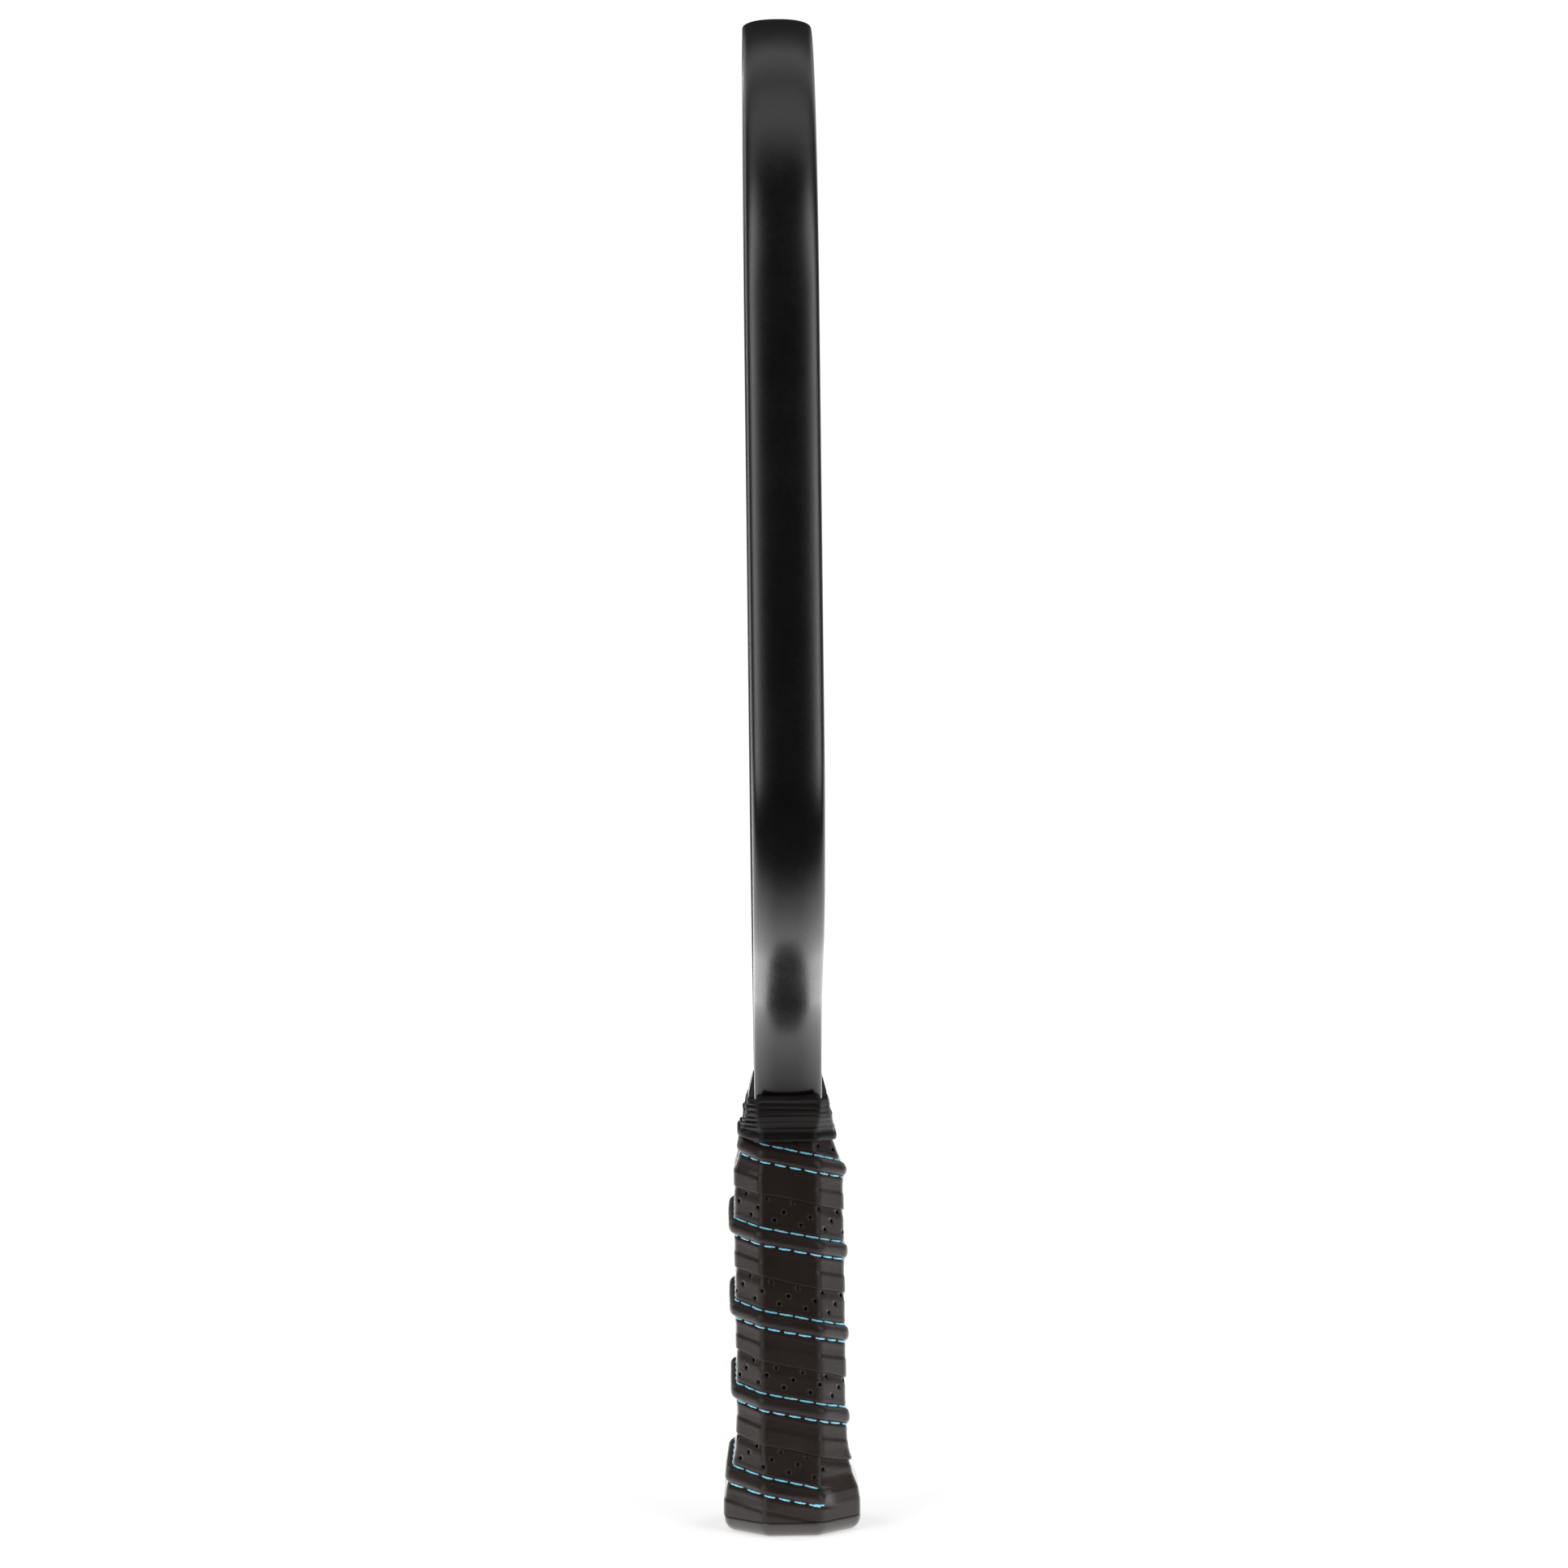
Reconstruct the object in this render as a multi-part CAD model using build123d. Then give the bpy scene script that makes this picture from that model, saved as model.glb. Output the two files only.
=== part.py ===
from build123d import *
import math
import os

# Pickleball paddle standing on its butt. +Z runs from the butt to the head, the two hitting
# faces look along -Y (front) and +Y (back), and X runs across the head. Millimetres.

# ---- Driving dimensions -------------------------------------------------------------------

LENGTH = 395.0
HEAD_WIDTH = 200.0

# Outline of the head seen from the front, along the outside of the edge guard
TOP_CORNER_RADIUS = 81.0
SIDE_BOTTOM_HEIGHT = 206.0  # the straight sides end here and the shoulders begin
SHOULDER_RADIUS = 60.0
SHOULDER_SLOPE = 63.0  # degrees from the vertical
NECK_FILLET_RADIUS = 45.0
NECK_HALF_WIDTH = 19.0  # where the neck's fillet would turn upright, just inside the collar
NECK_BOTTOM_HEIGHT = 111.2  # the guard ends here and the panel steps in to its tang

# Sandwich panel, from the middle outwards
CORE_THICKNESS = 15.4
SCRIM_THICKNESS = 0.15
FACE_SHEET_THICKNESS = 0.5
CELL_SIZE = 8.0  # honeycomb, across flats
CELL_WALL = 0.4
CORE_RIM = 0.8  # solid border of the core
SMALLEST_CELL = 6.0  # area in mm2, smaller cut cells are filled
TANG_HALF_WIDTH = 11.0
TANG_BOTTOM_HEIGHT = 6.0

# Edge guard, a U-channel on the panel's edge
GUARD_WEB = 2.2
GUARD_CROWN = 2.25  # from the middle of its elliptical back to where the back meets the lips
GUARD_LIP_THICKNESS = 0.45
GUARD_LIP_WIDTH = 4.2
GUARD_LIP_CHAMFER = 0.2
EDGE_TAPE_THICKNESS = 0.2

# Bare handle: height, half width in X, half thickness in Y, 45 degree corner cut
HANDLE_SECTIONS = [
    (4.0, 18.90, 16.00, 9.40),
    (8.0, 18.90, 16.00, 9.40),
    (11.0, 18.50, 15.60, 9.10),
    (15.0, 17.10, 14.10, 7.70),
    (22.0, 15.80, 12.90, 6.10),
    (31.0, 15.35, 12.45, 5.70),
    (95.0, 15.35, 12.45, 5.70),
    (103.0, 14.90, 10.50, 4.30),
    (109.0, 14.90, 10.40, 4.20),
    (110.8, 14.90, 10.35, 4.20),
]
CAP_TOP_HEIGHT = 31.0
RIM_HEIGHT = 4.0
RIM_CORNER_RADIUS = 4.0
RIM_EDGE_RADIUS = 3.4
CAP_FLOOR = 5.0
SPIGOT = (13.60, 10.45, 3.60)  # the shells' lower end inside the cap
SPIGOT_BOTTOM_HEIGHT = 5.2
TANG_CLEARANCE = 0.1

# Tongues of the shells that lie on the faces between the guard's lips
TONGUE_HALF_WIDTH = 12.5
TONGUE_STRAIGHT_HEIGHT = 114.5
TONGUE_TIP_HEIGHT = 120.5
TONGUE_PROFILE = [(10.35, 110.8), (10.35, 114.0), (10.15, 116.0), (9.0, 120.5)]

# Wrapped grip: thickness of nothing, of the backing, and of backing and skin together, by height
WRAP_TOP_HEIGHT = 109.0
BARE = [(0.0, 0.0), (LENGTH, 0.0)]
BACKING_THICKNESS = [(4.0, 0.9), (95.0, 0.9), (103.0, 0.15), (110.8, 0.15)]
WRAP_THICKNESS = [(4.0, 1.9), (95.0, 1.9), (103.0, 1.1), (109.0, 0.5), (110.8, 0.5)]
WRAP_PITCH = 21.7
RIB_FRONT_HEIGHT = 98.6  # the first turn's rib crosses the middle of the +X side here
RIB_TURNS = 4
RIB_TOP_HEIGHT = 101.9
RIB_RADIUS = 0.7
THREAD_RADIUS = 0.25
STITCH_OFFSET = 2.35  # from the rib's middle to each stitch line
HELIX_CLEARANCE = 0.3
HELIX_CORNER_RADIUS = 2.5

# Tape that closes the wrap, and the rubber collar over it
FINISHING_TAPE_THICKNESS = 0.15
FINISHING_TAPE_BOTTOM = 103.0
COLLAR_OUTSIDE = [
    (103.0, 18.0, 12.70, 5.6),
    (104.6, 18.2, 12.70, 5.6),
    (105.2, 17.9, 12.30, 5.3),
    (110.0, 21.4, 11.75, 3.4),
    (116.0, 23.0, 10.95, 2.6),
]
COLLAR_INSIDE = [
    (103.0, 16.4, 11.95, 4.8),
    (109.0, 16.2, 11.50, 3.6),
    (110.9, 20.7, 10.60, 2.2),
    (116.0, 22.3, 10.45, 2.2),
]

# Small hidden pieces
DISC_RADIUS = 10.0
DISC_RECESS = 1.0
DISC_THICKNESS = 0.8
STAPLE_HEIGHT = 27.0
STAPLE_HALF_WIDTH = 5.0
STAPLE_DEPTHS = (11.7, 8.8)  # distance from the middle plane of its crown and of its tips
STAPLE_WIRE_RADIUS = 0.3

# ---- Derived dimensions -------------------------------------------------------------------

SCRIM_OUTSIDE = CORE_THICKNESS / 2 + SCRIM_THICKNESS
PANEL_OUTSIDE = SCRIM_OUTSIDE + FACE_SHEET_THICKNESS
GUARD_OUTSIDE = PANEL_OUTSIDE + GUARD_LIP_THICKNESS
PANEL_INSET = GUARD_WEB + EDGE_TAPE_THICKNESS
SHELL_TOP_HEIGHT = HANDLE_SECTIONS[-1][0]
BEVEL_GROWTH = 2 - math.sqrt(2)  # how fast a 45 degree cut grows as its octagon is offset


# ---- Head outline -------------------------------------------------------------------------


def outline_edges(inset, bottom):
    """The right half of the head's outline, moved inwards, from the neck to the top's middle."""
    across = math.cos(math.radians(SHOULDER_SLOPE))
    down = math.sin(math.radians(SHOULDER_SLOPE))
    shoulder = (HEAD_WIDTH / 2 - SHOULDER_RADIUS, SIDE_BOTTOM_HEIGHT)
    corner = (HEAD_WIDTH / 2 - TOP_CORNER_RADIUS, LENGTH - TOP_CORNER_RADIUS)
    fillet_x = NECK_HALF_WIDTH + NECK_FILLET_RADIUS
    gap = SHOULDER_RADIUS + NECK_FILLET_RADIUS + across * (shoulder[0] - fillet_x)
    neck = (fillet_x, shoulder[1] - gap / down)
    shoulder_r = SHOULDER_RADIUS - inset
    neck_r = NECK_FILLET_RADIUS + inset
    corner_r = TOP_CORNER_RADIUS - inset
    neck_start = math.degrees(math.asin((bottom - neck[1]) / neck_r))
    neck_end = (neck[0] - neck_r * across, neck[1] + neck_r * down)
    shoulder_end = (shoulder[0] + shoulder_r * across, shoulder[1] - shoulder_r * down)
    side = HEAD_WIDTH / 2 - inset
    return [
        CenterArc(neck, neck_r, 180 - neck_start, neck_start - SHOULDER_SLOPE),
        Line(neck_end, shoulder_end),
        CenterArc(shoulder, shoulder_r, -SHOULDER_SLOPE, SHOULDER_SLOPE),
        Line((side, shoulder[1]), (side, corner[1])),
        CenterArc(corner, corner_r, 0, 90),
        Line((corner[0], LENGTH - inset), (0, LENGTH - inset)),
    ]


def panel_face(inset):
    """The panel seen from the front, with its tang, as a face in the XZ plane."""
    tang = TANG_HALF_WIDTH - inset + PANEL_INSET
    tang_bottom = TANG_BOTTOM_HEIGHT + inset - PANEL_INSET
    shoulder = NECK_BOTTOM_HEIGHT + inset - PANEL_INSET
    half = outline_edges(inset, shoulder)
    half += [
        Line(half[0] @ 0, (tang, shoulder)),
        Line((tang, shoulder), (tang, tang_bottom)),
        Line((tang, tang_bottom), (0, tang_bottom)),
    ]
    whole = half + [edge.mirror(Plane.YZ) for edge in half]
    return Plane.XZ * Face(Wire(whole))


def layer(face, inner, outer):
    """The slab over a face of the XZ plane, between two distances from it along -Y."""
    return Solid.extrude(face.moved(Location((0, -inner, 0))), Vector(0, inner - outer, 0))


# ---- Panel --------------------------------------------------------------------------------


def make_core():
    """Honeycomb with its cells across the panel, cut to the outline inside a thin rim."""
    border = panel_face(PANEL_INSET)
    room = panel_face(PANEL_INSET + CORE_RIM)
    cell_radius = (CELL_SIZE - CELL_WALL) / math.sqrt(3)
    row_pitch = CELL_SIZE * math.sqrt(3) / 2
    columns = math.ceil(HEAD_WIDTH / 2 / CELL_SIZE)
    holes = []
    for row in range(math.ceil(LENGTH / row_pitch)):
        for column in range(-columns, columns + 1):
            x = (column + (row % 2) / 2) * CELL_SIZE
            place = Plane.XZ * Pos(x, row * row_pitch)
            cell = place * Face(Wire.make_polygon(hexagon(cell_radius)))
            clipped = room & cell
            if clipped and clipped.area > SMALLEST_CELL:
                holes += [piece.outer_wire() for piece in clipped.faces()]
    comb = Face(border.outer_wire(), holes)
    return layer(comb, -CORE_THICKNESS / 2, CORE_THICKNESS / 2)


def hexagon(radius):
    """Corners of a hexagon whose flats face along its own X."""
    angles = [math.radians(30 + 60 * k) for k in range(6)]
    return [(radius * math.cos(a), radius * math.sin(a)) for a in angles]


def make_edge_guard():
    """U-channel that follows the outline, with a rounded back and thin lips on both faces."""
    lip = GUARD_WEB + GUARD_LIP_WIDTH
    back = EllipticalCenterArc((-GUARD_CROWN, 0), GUARD_CROWN, GUARD_OUTSIDE, -90, arc_size=180)
    lip_line = Polyline(
        (-GUARD_CROWN, GUARD_OUTSIDE),
        (GUARD_LIP_CHAMFER - lip, GUARD_OUTSIDE),
        (-lip, GUARD_OUTSIDE - GUARD_LIP_CHAMFER),
        (-lip, PANEL_OUTSIDE),
        (-GUARD_WEB, PANEL_OUTSIDE),
    )
    channel = Line((-GUARD_WEB, -PANEL_OUTSIDE), (-GUARD_WEB, PANEL_OUTSIDE))
    lines = [back, channel, lip_line, lip_line.mirror(Plane.XZ)]
    section = Face(Wire([edge for line in lines for edge in line.edges()]))
    return sweep_outline(section, 0)


def make_edge_tape():
    """Thin adhesive strip between the panel's edge and the guard's web."""
    strip = Face(Wire.make_rect(EDGE_TAPE_THICKNESS, 2 * PANEL_OUTSIDE))
    return sweep_outline(strip, GUARD_WEB + EDGE_TAPE_THICKNESS / 2)


def sweep_outline(section, inset):
    """Sweeps a section, drawn with its X pointing out of the head, along the outline."""
    right = outline_edges(inset, NECK_BOTTOM_HEIGHT)
    left = [edge.mirror(Plane.YZ) for edge in right]
    path = Plane.XZ * Wire(right + left)
    first = Plane.XZ * right[0]
    ahead = first % 0
    start = Plane(first @ 0, x_dir=Vector(0, 1, 0).cross(ahead), z_dir=ahead)
    return sweep(start * section, path=path)


# ---- Handle -------------------------------------------------------------------------------


def octagon_corners(half_x, half_y, cut):
    """Corners of a cut-cornered rectangle, from the +X side's -Y end, turning towards +Y."""
    quarter = [(half_x, half_y - cut), (half_x - cut, half_y)]
    back = [(-x, y) for x, y in reversed(quarter)]
    upper = quarter + back
    lower = [(x, -y) for x, y in reversed(upper)]
    return [lower[-1]] + upper + lower[:-1]


def between(table, height):
    """Straight-line reading of a table whose rows start with a height."""
    for low, high in zip(table, table[1:]):
        if height <= high[0]:
            share = (height - low[0]) / (high[0] - low[0])
            return [p + share * (q - p) for p, q in zip(low[1:], high[1:])]
    return list(table[-1][1:])


def octagon_loft(table):
    """Solid through octagons given as height, half width, half thickness and corner cut."""
    return Solid.make_loft([octagon_wire(height, *sizes) for height, *sizes in table], ruled=True)


def octagon_wire(height, half_x, half_y, cut):
    """Closed outline of a horizontal cut-cornered rectangle."""
    corners = octagon_corners(half_x, half_y, cut)
    return Wire.make_polygon([(x, y, height) for x, y in corners])


def handle_solid(thickness, bottom, top):
    """The bare handle between two heights, grown outwards by a thickness table."""
    heights = [bottom] + [row[0] for row in HANDLE_SECTIONS if bottom < row[0] < top] + [top]
    table = []
    for height in heights:
        grow = between(thickness, height)[0]
        half_x, half_y, cut = between(HANDLE_SECTIONS, height)
        table.append((height, half_x + grow, half_y + grow, cut + BEVEL_GROWTH * grow))
    return octagon_loft(table)


def make_tongue():
    """Tip of the front shell, which tapers away on the face."""
    with BuildSketch(Plane.XZ) as plan:
        with BuildLine():
            Polyline(
                (-TONGUE_HALF_WIDTH, TONGUE_STRAIGHT_HEIGHT),
                (-TONGUE_HALF_WIDTH, SHELL_TOP_HEIGHT),
                (TONGUE_HALF_WIDTH, SHELL_TOP_HEIGHT),
                (TONGUE_HALF_WIDTH, TONGUE_STRAIGHT_HEIGHT),
            )
            ThreePointArc(
                (TONGUE_HALF_WIDTH, TONGUE_STRAIGHT_HEIGHT),
                (0, TONGUE_TIP_HEIGHT),
                (-TONGUE_HALF_WIDTH, TONGUE_STRAIGHT_HEIGHT),
            )
        make_face()
    side = [(-PANEL_OUTSIDE, SHELL_TOP_HEIGHT), (-PANEL_OUTSIDE, TONGUE_TIP_HEIGHT)]
    side += [(-depth, height) for depth, height in reversed(TONGUE_PROFILE)]
    wedge = Solid.extrude(
        Face(Wire.make_polygon([(-TONGUE_HALF_WIDTH, y, z) for y, z in side])),
        Vector(2 * TONGUE_HALF_WIDTH, 0, 0),
    )
    return wedge & extrude(plan.sketch, TONGUE_PROFILE[0][0] + 1)


def make_staple():
    """One staple through the front of the cap's skirt into the shell."""
    crown, tips = STAPLE_DEPTHS
    path = FilletPolyline(
        (-STAPLE_HALF_WIDTH, -tips, STAPLE_HEIGHT),
        (-STAPLE_HALF_WIDTH, -crown, STAPLE_HEIGHT),
        (STAPLE_HALF_WIDTH, -crown, STAPLE_HEIGHT),
        (STAPLE_HALF_WIDTH, -tips, STAPLE_HEIGHT),
        radius=2 * STAPLE_WIRE_RADIUS,
    )
    return round_wire(path, STAPLE_WIRE_RADIUS)


def round_wire(path, radius):
    """A round section along a path."""
    start = Plane(origin=path @ 0, z_dir=path % 0)
    return sweep(start * Circle(radius), path=path)


def make_shell(staple):
    """Front half of the handle's core: octagonal outside, pocket for the tang, spigot for the cap."""
    grip = handle_solid(BARE, CAP_TOP_HEIGHT, SHELL_TOP_HEIGHT)
    heights = (SPIGOT_BOTTOM_HEIGHT, CAP_TOP_HEIGHT)
    spigot = octagon_loft([(height, *SPIGOT) for height in heights])
    pocket_width = 2 * (TANG_HALF_WIDTH + TANG_CLEARANCE)
    pocket = Pos(0, 0, LENGTH / 2) * Box(pocket_width, 2 * PANEL_OUTSIDE, LENGTH)
    behind = Pos(0, HEAD_WIDTH / 2, LENGTH / 2) * Box(HEAD_WIDTH, HEAD_WIDTH, LENGTH)
    return grip + spigot + make_tongue() - pocket - behind - staple


def make_butt_cap(staples):
    """Flared cup over the handle's lower end, with a rounded rim that the wrap ends against."""
    half_x, half_y, cut = HANDLE_SECTIONS[0][1:]
    grow = WRAP_THICKNESS[0][1]
    end = octagon_wire(0, half_x + grow, half_y + grow, cut + BEVEL_GROWTH * grow)
    rim = Solid.extrude(Face(end), Vector(0, 0, RIM_HEIGHT))
    rim = fillet(rim.edges().filter_by(Axis.Z), RIM_CORNER_RADIUS)
    rim = fillet(rim.faces().sort_by(Axis.Z)[0].edges(), RIM_EDGE_RADIUS)
    flare = handle_solid(BARE, RIM_HEIGHT, CAP_TOP_HEIGHT)
    socket = octagon_loft([(height, *SPIGOT) for height in (CAP_FLOOR, CAP_TOP_HEIGHT)])
    recess = Pos(0, 0, DISC_RECESS / 2) * Cylinder(DISC_RADIUS, DISC_RECESS)
    return rim + flare - socket - recess - staples


def make_end_disc():
    """Plain disc in the recess of the cap's end."""
    return Pos(0, 0, DISC_RECESS - DISC_THICKNESS / 2) * Cylinder(DISC_RADIUS, DISC_THICKNESS)


# ---- Wrap ---------------------------------------------------------------------------------


def make_backing():
    """Foam backing of the grip tape, as a closed sleeve."""
    outside = handle_solid(BACKING_THICKNESS, RIM_HEIGHT, WRAP_TOP_HEIGHT)
    return outside - handle_solid(BARE, RIM_HEIGHT, WRAP_TOP_HEIGHT)


def make_grip_tape():
    """Skin of the grip tape, as a closed sleeve over its backing."""
    outside = handle_solid(WRAP_THICKNESS, RIM_HEIGHT, WRAP_TOP_HEIGHT)
    return outside - handle_solid(BACKING_THICKNESS, RIM_HEIGHT, WRAP_TOP_HEIGHT)


def make_finishing_tape():
    """Thin tape round the wrap's upper end."""
    closed = [(height, size + FINISHING_TAPE_THICKNESS) for height, size in WRAP_THICKNESS]
    outside = handle_solid(closed, FINISHING_TAPE_BOTTOM, WRAP_TOP_HEIGHT)
    return outside - handle_solid(WRAP_THICKNESS, FINISHING_TAPE_BOTTOM, WRAP_TOP_HEIGHT)


def make_collar():
    """Rubber band that closes the grip and covers the lower ends of the guard."""
    return octagon_loft(COLLAR_OUTSIDE) - octagon_loft(COLLAR_INSIDE)


def corner_turns():
    """How far round the grip each octagon corner is, in turns from the middle of the +X side."""
    grow = WRAP_THICKNESS[0][1]
    half_x, half_y, cut = between(HANDLE_SECTIONS, RIB_FRONT_HEIGHT / 2)
    corners = octagon_corners(half_x + grow, half_y + grow, cut + BEVEL_GROWTH * grow)
    runs = [math.dist(p, q) for p, q in zip(corners, corners[1:] + corners[:1])]
    turns = [-runs[0] / 2 / sum(runs)]
    for run in runs[:-1]:
        turns.append(turns[-1] + run / sum(runs))
    return turns


def wrap_point(turn, height, lift):
    """The point that far round the wrapped grip, a given distance off its surface."""
    marks = corner_turns()
    grow = between(WRAP_THICKNESS, height)[0] + lift
    half_x, half_y, cut = between(HANDLE_SECTIONS, height)
    corners = octagon_corners(half_x + grow, half_y + grow, cut + BEVEL_GROWTH * grow)
    part = (turn - marks[0]) % 1 + marks[0]
    rows = list(zip(marks + [marks[0] + 1], corners + corners[:1]))
    x, y = between([(mark, *corner) for mark, corner in rows], part)
    return (x, y, height)


def make_helix(radius, offset):
    """A round strand on the wrap from collar to butt, a distance above or below the rib's middle."""
    first = (RIB_FRONT_HEIGHT + offset - RIB_TOP_HEIGHT) / WRAP_PITCH
    last = RIB_TURNS + corner_turns()[1]
    marks = [k + mark for k in range(-1, RIB_TURNS + 1) for mark in corner_turns()]
    gap = 1 / 1000
    turns = [first] + [mark for mark in marks if first + gap < mark < last - gap] + [last]
    points = []
    for turn in turns:
        height = RIB_FRONT_HEIGHT + offset - turn * WRAP_PITCH
        points.append(wrap_point(turn, height, radius + HELIX_CLEARANCE))
    path = FilletPolyline(*points, radius=HELIX_CORNER_RADIUS)
    return round_wire(path, radius)


# ---- Parts --------------------------------------------------------------------------------


def main():
    core_middle = CORE_THICKNESS / 2
    sheet = panel_face(PANEL_INSET)
    scrim = layer(sheet, core_middle, SCRIM_OUTSIDE)
    face_sheet = layer(sheet, SCRIM_OUTSIDE, PANEL_OUTSIDE)
    staple = make_staple()
    staples = staple + staple.mirror(Plane.XZ)
    shell = make_shell(staple)
    parts = {
        "honeycomb_core": make_core(),
        "core_scrim_front": scrim,
        "core_scrim_back": scrim.mirror(Plane.XZ),
        "face_sheet_front": face_sheet,
        "face_sheet_back": face_sheet.mirror(Plane.XZ),
        "edge_guard": make_edge_guard(),
        "edge_guard_tape": make_edge_tape(),
        "handle_shell_front": shell,
        "handle_shell_back": shell.mirror(Plane.XZ),
        "butt_cap": make_butt_cap(staples),
        "butt_cap_staples": staples,
        "butt_end_disc": make_end_disc(),
        "grip_tape_backing": make_backing(),
        "grip_tape": make_grip_tape(),
        "rib_cord": make_helix(RIB_RADIUS, 0),
        "stitch_thread_upper": make_helix(THREAD_RADIUS, STITCH_OFFSET),
        "stitch_thread_lower": make_helix(THREAD_RADIUS, -STITCH_OFFSET),
        "finishing_tape": make_finishing_tape(),
        "collar": make_collar(),
    }
    os.makedirs("parts", exist_ok=True)
    for node, solid in parts.items():
        export_step(solid, f"parts/{node}.step")


main()
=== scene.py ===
import math

import bpy
import numpy as np
from mathutils import Matrix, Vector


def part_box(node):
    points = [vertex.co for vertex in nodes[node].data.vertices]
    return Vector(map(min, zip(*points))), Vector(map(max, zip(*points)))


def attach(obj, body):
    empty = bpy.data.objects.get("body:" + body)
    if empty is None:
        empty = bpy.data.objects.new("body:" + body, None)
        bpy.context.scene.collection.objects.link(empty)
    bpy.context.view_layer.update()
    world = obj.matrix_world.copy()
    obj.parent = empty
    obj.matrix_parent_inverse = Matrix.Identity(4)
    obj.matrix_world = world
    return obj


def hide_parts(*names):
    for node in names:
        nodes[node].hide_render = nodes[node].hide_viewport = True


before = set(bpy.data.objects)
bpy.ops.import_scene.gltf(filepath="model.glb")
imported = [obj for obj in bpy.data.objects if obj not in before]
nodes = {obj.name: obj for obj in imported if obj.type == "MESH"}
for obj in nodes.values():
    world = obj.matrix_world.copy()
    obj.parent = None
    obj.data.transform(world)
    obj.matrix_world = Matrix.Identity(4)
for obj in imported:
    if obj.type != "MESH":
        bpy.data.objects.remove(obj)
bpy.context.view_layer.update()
MM = 0.001

# The paddle stands on its butt, +Z towards the head. The camera looks at its edge along -X.

# ---- Wrap, in metres -----------------------------------------------------------------------

PITCH = 21.7 * MM
RIB_FRONT_HEIGHT = 98.6 * MM  # the first turn's rib at the middle of the +X side
EDGE_ABOVE_RIB = 10.5 * MM  # from the overlap edge down to the rib
STITCH_OFFSET = 2.25 * MM
RIB_HEIGHT = 1.45 * MM
RIB_END_TURN = 4.075
COLUMNS = 222  # of the tape's mesh, in one turn
CORNER_RADIUS = 2.6 * MM
RIM_HEIGHT = 4.0 * MM
WRAP_TOP = 108.5 * MM
COLLAR_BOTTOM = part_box("collar")[0].z
COLLAR_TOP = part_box("collar")[1].z


# ---- Mesh helpers --------------------------------------------------------------------------


def new_mesh(name, points, faces, flat_from=None):
    """A smooth object, except for its faces from a number on, which keep their edges."""
    mesh = bpy.data.meshes.new(name)
    mesh.from_pydata([tuple(p) for p in points], [], [tuple(f) for f in faces])
    mesh.validate()
    mesh.update()
    smooth = [flat_from is None or k < flat_from for k in range(len(mesh.polygons))]
    mesh.polygons.foreach_set("use_smooth", smooth)
    ob = bpy.data.objects.new(name, mesh)
    bpy.context.scene.collection.objects.link(ob)
    return ob


def grid_faces(rows, columns, first=0, around=False, along=False):
    """Quads of a grid of points stored row by row. around and along join its last to its first."""
    faces = []
    for i in range(rows if along else rows - 1):
        for j in range(columns if around else columns - 1):
            a = first + i * columns + j
            b = first + i * columns + (j + 1) % columns
            c = first + (i + 1) % rows * columns + (j + 1) % columns
            d = first + (i + 1) % rows * columns + j
            faces.append((a, b, c, d))
    return faces


def adopt(ob, replaced, material):
    """Makes an object stand for CAD nodes, on the part's one body."""
    ob.data.materials.append(material)
    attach(ob, "root")
    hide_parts(*replaced)
    return ob


def smoothstep(low, high, value):
    share = np.clip((value - low) / (high - low), 0, 1)
    return share * share * (3 - 2 * share)


# ---- Rounded octagons ----------------------------------------------------------------------


WRAP_HEIGHTS = [4, 8, 11, 15, 22, 31, 95, 103, 109]  # where the wrap's octagon changes


def sections_of(node, heights):
    """Height, half width, half thickness and corner cut of the octagons of a CAD sleeve."""
    points = np.array([v.co for v in nodes[node].data.vertices])
    found = []
    for height in [h * MM for h in heights]:
        level = np.abs(points[np.abs(points[:, 2] - height) < 1e-6])
        half_x, half_y = level[:, 0].max(), level[:, 1].max()
        flat = level[level[:, 0] > half_x - 1e-5][:, 1].max()
        found.append((height, half_x, half_y, half_y - flat))
    return np.array(found)


WRAP = sections_of("grip_tape", WRAP_HEIGHTS)


def wrap_sizes(height):
    """Half width, half thickness and corner cut of the wrapped grip at some heights."""
    return [np.interp(height, WRAP[:, 0], WRAP[:, k]) for k in (1, 2, 3)]


BEVEL_GROWTH = 2 - math.sqrt(2)


def octagon_marks():
    """Where round a turn each flat and each rounded corner starts, from the +X side's middle."""
    half_x, half_y, cut = wrap_sizes(50 * MM)
    inner = inner_corners(half_x, half_y, cut, CORNER_RADIUS)
    runs = [math.dist(p, q) for p, q in zip(inner, inner[1:] + inner[:1])]
    bend = CORNER_RADIUS * math.pi / 4
    lengths = [x for run in runs for x in (run, bend)]
    ends = np.cumsum(lengths) - runs[0] / 2
    return np.concatenate([[-runs[0] / 2], ends]) / sum(lengths)


def inner_corners(half_x, half_y, cut, radius):
    """Octagon corners before rounding, moved in by the rounding's radius."""
    a, b = half_x - radius, half_y - radius
    c = cut - BEVEL_GROWTH * radius
    quarter = [(a, b - c), (a - c, b)]
    upper = quarter + [(-x, y) for x, y in reversed(quarter)]
    lower = [(x, -y) for x, y in reversed(upper)]
    return [lower[-1]] + upper + lower[:-1]


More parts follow.
